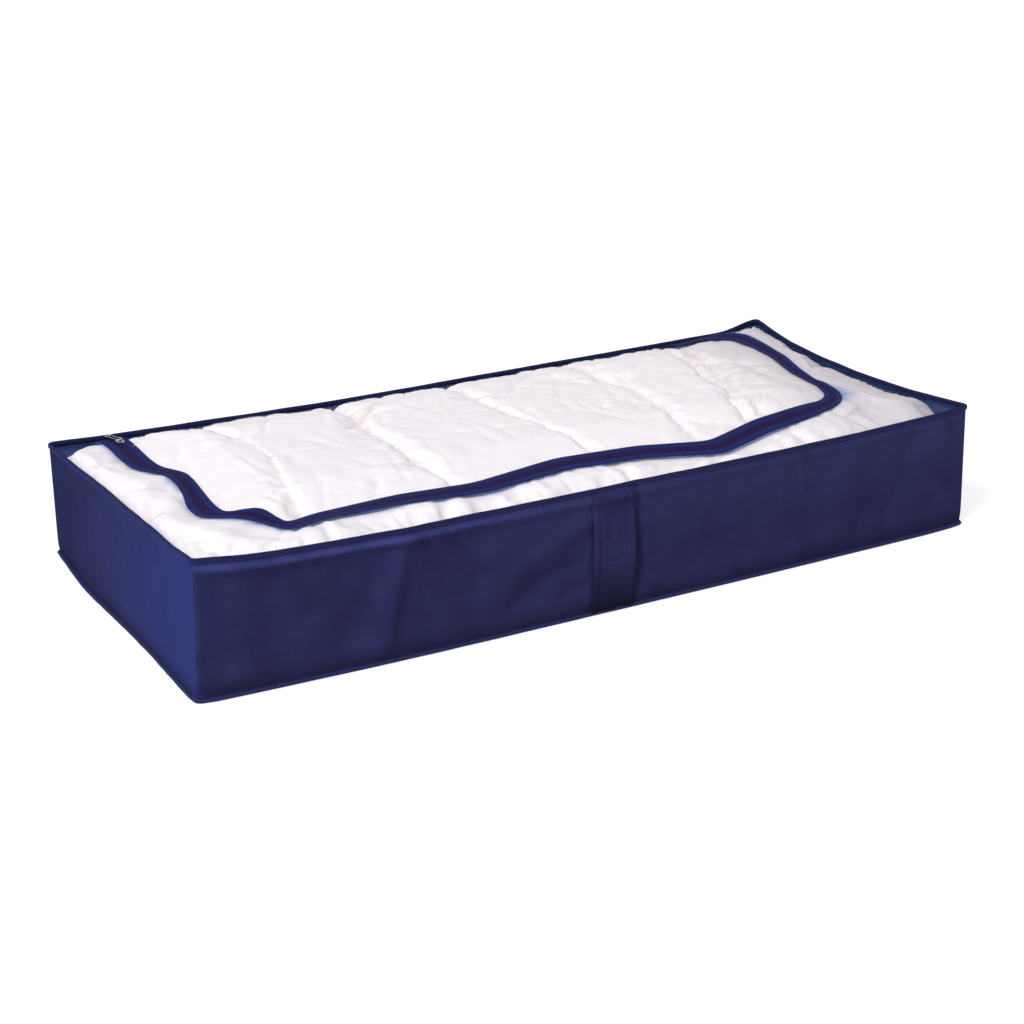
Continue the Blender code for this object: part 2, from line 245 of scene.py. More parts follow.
def pairs(a, b):
    """Two arrays as one array of (a, b)."""
    return np.stack(np.broadcast_arrays(a, b), axis=-1)


def surface(name, points, material, uv, thickness, offset=-1, flip=False):
    """A sheet through a grid of points, thickened inwards, or to both sides with an offset of 0."""
    faces = grid_faces(*points.shape[:2])
    if flip:
        faces = faces[:, ::-1]
    obj = mesh_object(name, points, faces, material, uv)
    assign(obj.modifiers.new("thickness", "SOLIDIFY"), thickness=thickness, offset=offset)
    return obj


def distances(path):
    """How far along a path each of its points lies."""
    steps = np.linalg.norm(np.diff(path, axis=0), axis=1)
    return np.concatenate([[0], np.cumsum(steps)])


def along_path(path, where):
    """Points of a path at some distances along it."""
    distance = distances(path)
    return np.stack([np.interp(where, distance, path[:, k]) for k in range(path.shape[1])], axis=-1)


def side_half(side):
    return (HALF_Y, HALF_X - CORNER) if side in ("front", "back") else (HALF_X, HALF_Y - CORNER)


def side_length(side):
    """The side's own share of the outline, to the middles of its two corners."""
    return 2 * side_half(side)[1] + CORNER * math.pi / 2


def side_point(side, u, outward, z):
    """Points on one side: u runs along it from its middle, and on round half of each corner."""
    half, straight = side_half(side)
    u, outward, z = np.broadcast_arrays(np.asarray(u, float), outward, z)
    turn = np.clip(np.abs(u) - straight, 0, None) / CORNER
    sign = np.sign(u)
    along = np.clip(u, -straight, straight) + sign * (CORNER + outward) * np.sin(turn)
    out = half - CORNER + (CORNER + outward) * np.cos(turn)
    ax, ay = ALONG[side]
    ox, oy = OUTWARD[side]
    return np.stack([ax * along + ox * out, ay * along + oy * out, z], axis=-1)


# ---------------------------------------------------------------- the walls' relief


def crease(u, z, row):
    """A soft ridge (height above zero) or valley along a line, fading at both of its ends."""
    u0, z0, u1, z1, width, height = (value / 1000 for value in row[:6])
    du, dz = u1 - u0, z1 - z0
    length = math.hypot(du, dz)
    t = ((u - u0) * du + (z - z0) * dz) / length**2
    d = ((u - u0) * dz - (z - z0) * du) / length
    fade = smooth((t + 0.35) / 0.5) * smooth((1.35 - t) / 0.5)
    return height * np.exp(-((d / width) ** 2)) * (1 + row[6] * d / width) * fade


# Each crease: start and end on the wall (along it, up it), width and height, all in millimetres; skew
WALL_CREASES = {
    "front": (
        (-268, 150, -300, 10, 14, 5.8, 0.8),
        (-305, 140, -345, 20, 26, -4, 0.0),
        (-255, 150, -262, 60, 8, 1.4, 0.0),
        (-45, 88, -150, 20, 15, -5.2, 0.3),
        (-55, 112, -160, 60, 13, 3.4, 0.2),
        (-50, 38, -120, 10, 11, -3.4, 0.3),
        (-34, 73, -75, 68, 5.5, -3, 0.3),
        (-36, 86, -60, 90, 6, 1.6, 0.0),
        (24, 150, 27, 20, 9, -4.6, 0.4),
        (75, 75, 115, 82, 6, 1.3, 0.0),
        (255, 152, 264, 95, 4.5, 1.8, 0.8),
        (232, 150, 225, 60, 20, 2.6, 0.0),
        (345, 150, 325, 30, 18, 2.9, 0.2),
        (430, 140, 400, 40, 14, -2.2, 0.4),
        (470, 150, 490, 30, 15, 3.2, 0.0),
        (-430, 140, -420, 20, 22, -2.2, 0.0),
        (-180, 150, -170, 40, 25, -2.9, 0.4),
        (140, 140, 160, 40, 30, -2.6, 0.0),
    ),
    "left": (
        (36, 150, 27, 60, 6, 1.3, 0.4),
        (110, 150, 95, 30, 16, -2.6, 0.3),
        (160, 140, 170, 20, 16, 2.6, 0.0),
        (-60, 150, -50, 40, 18, 2.2, 0.3),
        (-140, 120, -170, 20, 16, -3.5, 0.4),
        (-100, 60, -190, 26, 10, 2.6, 0.3),
    ),
    "right": (
        (-120, 150, -100, 30, 20, -3.2, 0.3),
        (10, 150, -15, 20, 22, 4.2, 0.2),
        (130, 150, 110, 50, 16, -2.9, 0.2),
        (60, 100, 140, 30, 10, 1.9, 0.4),
        (-160, 90, -190, 20, 12, 2.2, 0.0),
    ),
    "back": (
        (-400, 150, -380, 30, 22, 3.8, 0.3),
        (-260, 140, -280, 20, 18, -3.5, 0.3),
        (-120, 150, -100, 50, 24, 2.9, 0.0),
        (30, 150, 10, 30, 18, -3.8, 0.4),
        (60, 100, 150, 40, 10, 2.2, 0.3),
        (210, 150, 230, 20, 24, 4.2, 0.2),
        (360, 150, 340, 40, 16, -2.9, 0.0),
        (460, 120, 490, 20, 14, 2.6, 0.2),
    ),
}


def ripple(u, z, seed, amplitude, low, high, count=10):
    """Soft random waves, mostly upright, as limp cloth hangs between two seams."""
    rng = np.random.default_rng(seed)
    total = np.zeros(np.broadcast(u, z).shape)
    for _ in range(count):
        wave = rng.uniform(low, high)
        tilt = rng.normal(0, 0.35)
        phase = rng.uniform(0, 2 * math.pi)
        total = total + np.sin(2 * math.pi * (u + tilt * z) / wave + phase)
    return amplitude * total / math.sqrt(count)


def hem(u, z, side):
    """The wall's top edge is folded under: a shelf that leans outwards below the binding, then steps back."""
    lower = RIM_FOOT - HEM
    strength = {"front": 1.0, "back": 0.9, "left": 0.2, "right": 0.5}[side]
    along = 1 - 0.55 * smooth((u - 0.03) / 0.1) if side == "front" else 1.0
    shelf = np.clip((RIM_FOOT + 0.001 - z) / HEM, 0, 1)
    step = smooth((z - lower + 0.0035) / 0.0035)
    return 0.0050 * strength * along * shelf * step


def relief(side, u, z):
    """How far the wall's face stands out of its flat place; nothing at the corners, where two walls meet."""
    half_length = side_length(side) / 2
    fade = smooth((half_length - np.abs(u)) / 0.035)
    seam = smooth((z - 0.004) / 0.03) * smooth((HEIGHT + 0.012 - z) / 0.04)
    total = ripple(u, z, SIDES.index(side) + 3, 0.0009, 0.05, 0.22)
    total = total + ripple(u, z, SIDES.index(side) + 11, 0.00022, 0.012, 0.04)
    for row in WALL_CREASES[side]:
        total = total + crease(u, z, row)
    hollow = -0.0025 * np.sin(math.pi * np.clip(z / HEIGHT, 0, 1))
    return fade * (seam * (total + hollow) + hem(u, z, side))


# ---------------------------------------------------------------- materials


class Nodes:
    """A short way to write a material's node tree."""

    def __init__(self, name):
        self.material = bpy.data.materials.new(name)
        self.material.use_nodes = True
        self.tree = self.material.node_tree
        self.shader = self.tree.nodes["Principled BSDF"]
        self.output = self.tree.nodes["Material Output"]

    def add(self, kind, inputs=None, **settings):
        node = self.tree.nodes.new("ShaderNode" + kind)
        assign(node, **settings)
        for key, value in (inputs or {}).items():
            self.put(node.inputs[key], value)
        return node

    def put(self, socket, value):
        if isinstance(value, bpy.types.NodeSocket):
            self.tree.links.new(value, socket)
        else:
            socket.default_value = value

    def set(self, **values):
        for key, value in values.items():
            self.put(self.shader.inputs[key.replace("_", " ")], value)

    def math(self, operation, a, b=0.0):
        node = self.add("Math", operation=operation)
        self.put(node.inputs[0], a)
        self.put(node.inputs[1], b)
        return node.outputs[0]

    def times(self, a, b):
        return self.math("MULTIPLY", a, b)

    def split(self, vector):
        return self.add("SeparateXYZ", {"Vector": vector}).outputs

    def noise(self, where, scale, detail=3.0, roughness=0.5):
        inputs = {"Vector": where, "Scale": scale, "Detail": detail, "Roughness": roughness}
        return self.add("TexNoise", inputs).outputs["Fac"]

    def mix(self, share, a, b):
        node = self.add("Mix", data_type="RGBA")
        self.put(node.inputs["Factor"], share)
        self.put(node.inputs["A"], a)
        self.put(node.inputs["B"], b)
        return node.outputs["Result"]

    def ramp(self, value, low, high):
        return self.add("MapRange", {"Value": value, "From Min": low, "From Max": high}).outputs["Result"]

    def bump(self, height, strength, distance, onto=None):
        inputs = {"Height": height, "Strength": strength, "Distance": distance}
        node = self.add("Bump", inputs)
        if onto is not None:
            self.put(node.inputs["Normal"], onto)
        return node.outputs["Normal"]

    def uv(self):
        return self.add("UVMap", uv_map="surface").outputs["UV"]

    def place(self):
        return self.add("TexCoord").outputs["Object"]


def tone(colour, red, green=None, blue=None):
    """The colour times a gain, or times one gain for each channel."""
    gains = (red, red if green is None else green, red if blue is None else blue)
    return (*(c * gain for c, gain in zip(colour, gains)), 1)


def non_woven(name, colour, hem_sheen_gain=0.0, floor_shade_gain=0.5, floor_shade_top=0.03, light_falloff=0.0):
    """Spot-bonded non-woven cloth: a grid of tiny pressed spots over matted fibres.

    Painted shade darkens it towards the floor, below a given height. With a hem gain, painted sheen lightens
    the doubled cloth of the front wall's hem, most of all at its left, and painted light the wall's upper
    part right of its big fold.
    With a light falloff share, painted light makes it lighter and bluer towards its right-hand end, and
    painted shade darkens its left-hand end.
    """
    n = Nodes(name)
    uv, place = n.uv(), n.place()
    spots = n.add("TexVoronoi", {"Vector": uv, "Scale": 700.0, "Randomness": 0.15}, feature="F1")
    pressed = n.ramp(spots.outputs["Distance"], 0.28, 0.42)
    fibres = n.noise(uv, 1600.0, 4.0, 0.65)
    clouds = n.noise(place, 26.0, 4.0, 0.6)
    base = n.mix(n.ramp(clouds, 0.3, 0.7), tone(colour, 0.80), tone(colour, 1.22))
    base = n.mix(n.times(n.ramp(fibres, 0.35, 0.75), 0.35), base, tone(colour, 1.7))
    split = n.split(uv)
    # painted light and shade along the wall: lighter and bluer towards its right-hand end, darker towards its
    # left-hand end
    if light_falloff:
        painted_light_right = n.times(n.ramp(split["X"], -0.10, 0.21), light_falloff)
        base = n.mix(painted_light_right, base, tone(colour, 1.12, 1.45, 1.70))
        painted_shade_left = n.times(n.ramp(split["X"], 0.0, -0.21), light_falloff)
        base = n.mix(painted_shade_left, base, tone(colour, 0.60, 0.75, 0.70))
    # painted shade: the cloth darkens towards the floor
    foot = n.times(n.ramp(split["Y"], floor_shade_top, 0.1 * floor_shade_top), floor_shade_gain)
    base = n.mix(foot, base, tone(colour, 0.28, 0.26, 0.14))
    # painted highlight: sheen on the hem's fold, lightest at its left, and painted light on the upper wall
    if hem_sheen_gain:
        middle = RIM_FOOT - 0.0050
        off_middle = n.math("ABSOLUTE", n.math("SUBTRACT", split["Y"], middle))
        in_hem = n.times(n.ramp(off_middle, 0.0055, 0.0015), hem_sheen_gain)
        leftward = n.ramp(split["X"], 0.02, -0.20)
        painted_hem_sheen = n.times(n.times(in_hem, leftward), n.ramp(clouds, 0.1, 0.7))
        base = n.mix(painted_hem_sheen, base, tone(colour, 2.7, 3.3, 3.4))
        # painted light on the wall's upper part, right of its big fold
        high = n.times(n.ramp(split["Y"], 0.070, 0.140), n.ramp(split["X"], -0.24, -0.12))
        base = n.mix(n.times(high, 0.40), base, tone(colour, 1.7, 2.0, 1.8))
    height = n.math("ADD", n.times(pressed, 0.6), n.times(fibres, 0.5))
    soft = n.bump(clouds, 0.25, 0.004)
    n.set(Base_Color=base, Roughness=0.85, Specular_IOR_Level=0.015)
    n.set(Normal=n.bump(height, 0.35, 0.0003, soft))
    return n.material


def ribbed(name, colour, pitch, inner_colour_and_shade=None):
    """Woven tape with fine ribs across it. With a tint, the tape darkens towards its inner edge: partly its
    own maroon colour, partly painted shade beside the teeth.
    """
    n = Nodes(name)
    uv = n.uv()
    ribs = n.add("TexWave", {"Vector": uv, "Scale": 0.314 / pitch, "Distortion": 0.6, "Detail": 1.0})
    weave = n.noise(uv, 1400.0, 3.0, 0.6)
    base = n.mix(n.ramp(weave, 0.3, 0.7), tone(colour, 0.75), tone(colour, 1.3))
    # partly the tape's own colour and partly painted shade beside the teeth, darkening its inner edge
    if inner_colour_and_shade:
        near = n.ramp(n.split(uv)["Y"], TEETH_EDGE + 0.0044, TEETH_EDGE + 0.0016)
        base = n.mix(near, base, (*inner_colour_and_shade, 1))
    height = n.math("ADD", ribs.outputs["Fac"], n.times(weave, 0.5))
    n.set(Base_Color=base, Roughness=0.75, Specular_IOR_Level=0.06, Normal=n.bump(height, 0.45, 0.0003))
    return n.material


def moulded(name, colour, roughness):
    n = Nodes(name)
    grain = n.noise(n.place(), 900.0, 2.0)
    n.set(Base_Color=n.mix(grain, (*colour, 1), tone(colour, 1.6)), Roughness=roughness)
    n.set(Specular_IOR_Level=0.15)
    n.set(Normal=n.bump(grain, 0.15, 0.0001))
    return n.material


def plated_metal():
    n = Nodes("plated_metal")
    scratches = n.noise(n.place(), 1500.0, 4.0, 0.7)
    n.set(Base_Color=n.mix(scratches, (0.72, 0.70, 0.66, 1), (0.50, 0.49, 0.47, 1)), Metallic=1.0)
    n.set(Roughness=n.add("MapRange", {"Value": scratches, "To Min": 0.18, "To Max": 0.36}).outputs["Result"])
    n.set(Normal=n.bump(scratches, 0.08, 0.0001))
    return n.material


def clear_film(name, haze, painted_reflection=0.0):
    """Thin clear film: it shows what lies behind it, with a little bluish haze and a glossy skin.

    With a reflection share, it has a painted reflection of the navy zip: darker navy patches near the edge
    where its map's height is 1.
    """
    n = Nodes(name)
    place = n.place()
    crinkle = n.noise(place, 30.0, 5.0, 0.55)
    fine = n.noise(place, 160.0, 3.0, 0.5)
    normal = n.bump(fine, 0.10, 0.001, n.bump(crinkle, 0.30, 0.006))
    bluish = (0.15, 0.38, 1.0, 1)
    # painted reflection of the navy zip, in patches near the zip, raising the haze there
    if painted_reflection:
        near_zip = n.ramp(n.split(n.uv())["Y"], 0.74, 0.96)
        reflection_patches = n.times(n.math("POWER", near_zip, 1.5), n.ramp(crinkle, 0.36, 0.58))
        bluish = n.mix(reflection_patches, bluish, (0.10, 0.14, 0.42, 1))
        haze = n.math("ADD", haze, n.times(reflection_patches, painted_reflection))
    n.set(Base_Color=bluish, Roughness=0.10, Specular_IOR_Level=0.5, Normal=normal)
    clear = n.add("BsdfTransparent", {"Color": (0.985, 0.985, 0.985, 1)})
    facing = n.add("LayerWeight", {"Blend": 0.22, "Normal": normal}).outputs["Fresnel"]
    share = n.math("ADD", haze, n.times(facing, 0.07))
    mixed = n.add("MixShader", {0: share})
    n.put(mixed.inputs[1], clear.outputs[0])
    n.put(mixed.inputs[2], n.shader.outputs[0])
    n.put(n.output.inputs["Surface"], mixed.outputs[0])
    return n.material


def bedding_cloth():
    """White cotton with a fine weave, faintly warm from its filling, and darker and greyer towards its right
    end with painted shade.
    """
    n = Nodes("bedding_cloth")
    place = n.place()
    clouds = n.noise(place, 9.0, 4.0, 0.6)
    weave = n.noise(place, 1300.0, 2.0)
    wrinkle = n.noise(place, 42.0, 6.0, 0.6)
    white = n.mix(clouds, (0.90, 0.80, 0.75, 1), (0.95, 0.875, 0.82, 1))
    # painted shade: the bedding darkens and greys towards its right end
    painted_right_shade = n.ramp(n.split(place)["X"], 0.26, 0.47)
    n.set(Base_Color=n.mix(painted_right_shade, white, (0.61, 0.535, 0.505, 1)), Roughness=0.85)
    n.set(Sheen_Weight=0.2, Normal=n.bump(weave, 0.1, 0.0002, n.bump(wrinkle, 0.35, 0.004)))
    return n.material


def pale_floor():
    n = Nodes("pale_floor")
    n.set(Base_Color=(0.35, 0.35, 0.35, 1), Roughness=0.9, Specular_IOR_Level=0.1)
    n.set(Emission_Color=(1, 1, 1, 1), Emission_Strength=0.74)
    return n.material


# ---------------------------------------------------------------- body of the box


def side_columns(side):
    half = side_length(side) / 2
    straight = side_half(side)[1]
    inner = np.linspace(-straight, straight, int(round(2 * straight / STEP)))
    arc = np.linspace(straight, half, 6)[1:]
    return np.concatenate([-arc[::-1], inner, arc])


def wall_rows():
    foot = np.array([[0.0010, 0.0030], [-0.0006, 0.0045], [-0.0012, 0.0065], [-0.0012, 0.0090]])
    heights = np.arange(0.012, HEIGHT - 0.002, STEP)
    upright = np.stack([-0.0010 * np.exp(-((heights - 0.009) / 0.006)), heights], axis=-1)
    top = np.array([[0.0, HEIGHT - 0.0018]])
    return np.concatenate([foot, upright, top])


def add_wall(side, material):
    u = side_columns(side)
    rows = wall_rows()
    z = np.broadcast_to(rows[:, 1:2], (len(rows), len(u)))
    out = rows[:, :1] + relief(side, u[None, :], z)
    points = settle(side_point(side, u[None, :], out, z))
    wall = surface(f"{side}_wall_cloth", points, material, pairs(u[None, :], z), CLOTH)
    hand_over(wall, "box", "cloth", f"{side}_wall")


def rim_wave(side, u):
    """How far the binding at the rim stands out of its straight place, with the wall below it."""
    return relief(side, u, HEIGHT - 0.004)


def add_rim_binding(side, material):
    """Tape folded over the rim: an outer leg, a rounded top and an inner leg."""
    u = side_columns(side)
    foot, top, end = RIM_FOOT, HEIGHT, RIM_LOW.z + 0.001
    outer = [(0.0003, foot), (0.0013, foot + 0.0002), (0.0016, foot + 0.0015), (0.0016, top - 0.0025)]
    crown = [(0.0012, top - 0.0008), (0.0001, top), (-0.0014, top + 0.0002), (-0.0026, top - 0.0006)]
    inner = [(-0.0031, top - 0.0024), (-0.0031, end), (-0.0020, end)]
    under = [(-0.0019, top - 0.0022), (0.0002, top - 0.0022)]
    profile = np.array(outer + crown + inner + under)
    waist = 1 + 0.08 * ripple(u, 0, 31 + SIDES.index(side), 1.0, 0.03, 0.12)
    out = rim_wave(side, u)[:, None] + profile[None, :, 0] * waist[:, None]
    points = settle(side_point(side, u[:, None], out, profile[None, :, 1]))
    uv = pairs(u[:, None], distances(profile)[None, :])
    binding = swept(f"{side}_rim_tape", points, material, uv)
    hand_over(binding, "box", "binding", f"rim_binding_{side}")


def add_floor_binding(side, material):
    """The welt at the floor: tape folded round the outward edges of the wall and the base."""
    u = side_columns(side)
    angles = np.linspace(0, 2 * math.pi, 14, endpoint=False)
    centre_out = -0.0004 - 0.0014 * smooth(1 - (side_length(side) / 2 - np.abs(u)) / 0.02)[:, None]
    plump = 1 + 0.05 * ripple(u, 0, 41 + SIDES.index(side), 1.0, 0.02, 0.09)
    out = centre_out + 0.0031 * np.sign(np.cos(angles)) * np.abs(np.cos(angles)) ** 0.8 * plump[:, None]
    z = WELT / 2 + WELT / 2 * np.sin(angles)
    points = settle(side_point(side, u[:, None], out, z))
    points[..., 2] = np.maximum(points[..., 2], 0.0)
    welt = swept(f"{side}_floor_tape", points, material, pairs(u[:, None], angles * 0.003), flip=True)
    hand_over(welt, "box", "binding", f"floor_binding_{side}")


BASE_FLAT = 0.0002
# Rings of the base panel: distance inwards from the walls, height
BASE_RINGS = (
    (-0.002, 0.0022),
    (0.008, 0.0016),
    (0.030, BASE_FLAT),
    (0.080, BASE_FLAT),
    (0.150, BASE_FLAT),
    (0.200, BASE_FLAT),
)


def add_base(material):
    """The base panel: a lip in the floor seam, then rings that shrink inwards."""
    rings = []
    for inset, z in BASE_RINGS:
        lip = max(-inset, 0)
        shrink = max(inset, 0) / np.array([HALF_X, HALF_Y, math.inf])
        ring = np.concatenate([side_point(side, side_columns(side)[:-1], lip, z) for side in SIDES])
        rings.append(ring * (1 - shrink))
    points = settle(np.array(rings))
    points = np.concatenate([points, points[:, :1]], axis=1)
    count = points.shape[1]
    faces = grid_faces(len(rings), count).tolist()
    faces.append([(len(rings) - 1) * count + i for i in range(count - 1)])
    base = mesh_object("base_cloth", points, faces, material, points[..., :2])
    hand_over(base, "box", "cloth", "base_panel")


def add_stitches(name, path, material, body, pitch=0.0042, length=0.0030, bend=None):
    """A row of thread stitches lying along a path of points."""
    radius = 0.00032
    starts = np.arange(pitch / 2, distances(path)[-1] - length, pitch)
    ring = np.linspace(0, 2 * math.pi, 5, endpoint=False)
    stations = ((0.0, 0.35), (0.2, 1.0), (0.8, 1.0), (1.0, 0.35))  # share of the length, girth
    verts = []
    for start in starts:
        for share, girth in stations:
            at = Vector(along_path(path, start + share * length))
            forward = Vector(along_path(path, start + share * length + 0.001)) - at
            side = forward.orthogonal().normalized()
            other = forward.cross(side).normalized()
            for angle in ring:
                verts.append(at + radius * girth * (math.cos(angle) * side + math.sin(angle) * other))
    faces = repeated(bar_faces(len(stations), len(ring)), len(stations) * len(ring), len(starts))
    row = mesh_object(name, [tuple(v) for v in verts], faces, material)
    hand_over(row, body, "binding", bend=bend)


def add_rim_stitches(side, material):
    u = side_columns(side)[3:-3]
    path = settle(side_point(side, u, rim_wave(side, u) + PROUD, RIM_FOOT + 0.0014))
    add_stitches(f"{side}_rim_stitching", path, material, "box")


# ---------------------------------------------------------------- bedding, film and zip heights


class Field:
    """Heights over the box's top on a regular grid, read back smoothly anywhere."""

    def __init__(self, spacing):
        self.nx = int(round(2 * HALF_X / spacing)) + 1
        self.ny = int(round(2 * HALF_Y / spacing)) + 1
        across, along = np.linspace(-HALF_X, HALF_X, self.nx), np.linspace(-HALF_Y, HALF_Y, self.ny)
        self.x, self.y = np.meshgrid(across, along)
        self.z = np.zeros_like(self.x)

    def cells(self, x, y, margin=0.0):
        """The places of points, counted in cells from the grid's corner."""
        fx = np.clip((x + HALF_X) / (2 * HALF_X) * (self.nx - 1), 0, self.nx - 1 - margin)
        fy = np.clip((y + HALF_Y) / (2 * HALF_Y) * (self.ny - 1), 0, self.ny - 1 - margin)
        return fx, fy

    def read(self, x, y):
        fx, fy = self.cells(x, y, 0.001)
        ix, iy = fx.astype(int), fy.astype(int)
        tx, ty = fx - ix, fy - iy
        low = self.z[iy, ix] * (1 - tx) + self.z[iy, ix + 1] * tx
        high = self.z[iy + 1, ix] * (1 - tx) + self.z[iy + 1, ix + 1] * tx
        return low * (1 - ty) + high * ty


# The zip's wander, in thousandths. Each station: distance along it from the fold at its left end, shift in
# plan, rise, how much higher its outer edge stands than its middle, share of its width lost in gathers
ZIP_WANDER = (
    (-60, 0, 0, 0, 0, 0),
    (-10, 0, 0, 0, 0, 0),
    (55, -6, 0, 1, 0, 0),
    (85, -4, 0, 0, 1, 0),
    (125, 14, 0, 3, 2, 100),
    (160, 13, 0, 2, 2, 200),
    (195, 8, 0, 1, 1, 200),
    (233, 0, 0, 0, 0, 0),
    (266, 0, 0, 0, 0, 0),
    (288, 18, 8, 2, 1, 100),
    (310, 27, 15, 0, 2, 100),
    (350, 12, 1, -3, 2, 120),
    (400, 0, 9, 0, 3, 50),
    (503, 0, 10, 1, 1, 0),
    (600, 0, 3, -1, 0, 0),
    (717, 0, 19, 1, -1, 0),
    (821, 0, 9, 0, -2, 0),
    (909, 0, -14, -3, -3, 0),
    (996, 0, 12, 1, -3, 0),
    (1070, 2, 25, 2, -2, 0),
    (1140, -8, 36, 3, 1, 200),
    (1200, -23, 38, 5, 2, 580),
    (1250, -19, 15, 3, 0, 580),
    (1318, -4, 0, 0, -1, 300),
    (1380, 12, 0, 1, -3, 100),
    (1440, 15, 0, 2, -2, 50),
    (1484, 11, 2, 2, 0, 0),
    (1520, 4, 4, 1, 0, 0),
    (1610, 0, 2, 0, 0, 0),
)
ZIP_ARCH = ((-0.396, -0.120), 0.024, 0.018, 0.012)  # place, length, width, rise of its inner edge


def wander_table():
    """The zip's straight centre line, with the shift, rise, cant and inward gather at each of its points."""
    lead = 0.05  # the line starts this far behind the fold
    behind = line((-ZIP_X, FOLD_Y + lead), (-ZIP_X, FOLD_Y), 16)
    path = np.concatenate([behind, outer_outline(0.0)])
    distance = distances(path) - lead
    stations = np.array(ZIP_WANDER) / 1000
    even = np.arange(distance[0], distance[-1], 0.001)
    window = np.hanning(35)
    window /= window.sum()
    columns = []
    for column in stations.T[1:]:
        rough = np.interp(even, stations[:, 0], column)
        soft = np.convolve(np.pad(rough, len(window) // 2, mode="edge"), window, mode="valid")
        columns.append(np.interp(distance, even, soft))
    along = np.gradient(path, axis=0)
    along /= np.linalg.norm(along, axis=1)[:, None]
    gathers = columns.pop()
    columns += [-along[:, 1] * gathers, along[:, 0] * gathers]
    return path, np.stack(columns, axis=-1)


def wander(x, y):
    """Shift, rise, cant and gather of points on the film or the zip; nothing at the rim or far inside."""
    path, shifts = WANDER
    flat = np.stack([np.ravel(x), np.ravel(y)], axis=-1)
    shift = np.empty((len(flat), shifts.shape[1]))
    away = np.empty(len(flat))
    for start in range(0, len(flat), 5000):
        part = slice(start, start + 5000)
        square = ((flat[part][:, None] - path[None]) ** 2).sum(-1)
        nearest = square.min(axis=1, keepdims=True)
        away[part] = np.sqrt(nearest[:, 0])
        reach = 0.3 * np.sqrt(nearest) + 0.002  # farther from the zip, more of its length counts
        weight = np.exp((nearest - square) / (2 * reach**2))
        shift[part] = weight @ shifts / weight.sum(axis=1, keepdims=True)
    rim = to_rim(x, y)
    beyond = np.clip(away.reshape(np.shape(x)) - TAPE_EDGE, 0, None)
    outside = smooth(rim / (rim + beyond + 1e-6))
    inside = smooth(1 - beyond / 0.085) * smooth(rim / 0.012)
    return shift.reshape(*np.shape(x), -1) * np.where(from_zip(x, y) > 0, outside, inside)[..., None]


def zip_rise(x, y):
    """How far the zip lifts the film there: it rises and falls along its run, and leans across it."""
    moved = wander(x, y)
    across = np.clip(from_zip(x, y) / TAPE_EDGE, -1, 1)
    return moved[..., 2] + moved[..., 3] * across


def from_zip(x, y):
    """Distance outward from the zip's centre line (negative inside the flap)."""
    past_x, past_y = np.abs(x) - BEND_X, -y - BEND_Y
    corner = np.hypot(np.maximum(past_x, 0), np.maximum(past_y, 0)) - ZIP_RADIUS
    straight = np.maximum(np.abs(x) - ZIP_X, -y - ZIP_Y)
    return np.where((past_x > 0) & (past_y > 0), corner, straight)


def to_rim(x, y):
    """Distance to the nearest wall; nothing beyond it."""
    return np.clip(np.minimum(HALF_X - np.abs(x), HALF_Y - np.abs(y)), 0, None)


def beyond_tape(x, y):
    """Distance from the zip's tapes, on either side; nothing under them."""
    return np.clip(np.abs(from_zip(x, y)) - TAPE_EDGE, 0, None)


# Seams across the bedding: x at the back, x at the front, wander
BEDDING_SEAMS = (
    (-0.345, -0.330, 0.020),
    (-0.170, -0.150, 0.012),
    (0.005, 0.020, 0.014),
    (0.185, 0.150, 0.012),
    (0.340, 0.290, 0.016),
)
# Each fold of the bedding, in millimetres: start and end in plan, width, height, skew
BEDDING_FOLDS = (
    (-362, 130, -338, 19, 30, 12, 0.7),
    (-338, 19, -376, -112, 28, 10, 0.7),
    (-416, 81, -351, 129, 10, -7, 0.0),
    (-300, 100, -200, 20, 30, 7, 0.3),
    (-177, 88, -103, 165, 7, -7, 0.6),
    (47, 105, 113, 165, 7, -6, 0.6),
    (328, 125, 293, -40, 10, -6, 0.6),
    (240, 110, 210, -60, 28, 8, 0.3),
    (274, -60, 255, -160, 9, -6, 0.5),
    (90, 60, 60, -120, 35, 8, 0.2),
    (-70, 80, -90, -140, 40, 7, 0.2),
    (-198, -170, -212, -225, 7, -7, 0.4),
    (-150, -180, -160, -225, 14, -8, 0.4),
    (380, 60, 395, -50, 10, -6, 0.3),
    (405, 40, 330, 90, 7, -3, 0.3),
    (400, 20, 320, 30, 6, -3, 0.3),
    (400, 0, 330, -20, 7, -3, 0.3),
    (-470, 10, -435, 30, 10, -6, 0.3),
    (-480, 120, -452, 140, 9, -6, 0.3),
    (-450, -170, -400, -190, 10, -5, 0.3),
)


def lid(x, y):
    """The highest the bedding may stand: under the rim's film, under the zip, and domed a little between."""
    rim = to_rim(x, y)
    under_rim = rim_inside(x, y) + 0.005 * (1 - np.exp(-rim / 0.010)) + 0.18 * rim
    under_zip = ZIP_Z + zip_rise(x, y) - 0.0021 + 0.20 * beyond_tape(x, y)
    under_zip = np.where(y < END_Y, under_zip, 1.0)
    return np.minimum(np.minimum(under_rim, under_zip), 0.1700)


def press(z, cap, softness):
    """Flattens heights softly under a cap."""
    return cap - softness * np.logaddexp(0, (cap - z) / softness)


def bedding_folds(x, y):
    return sum(crease(x, y, row) for row in BEDDING_FOLDS)


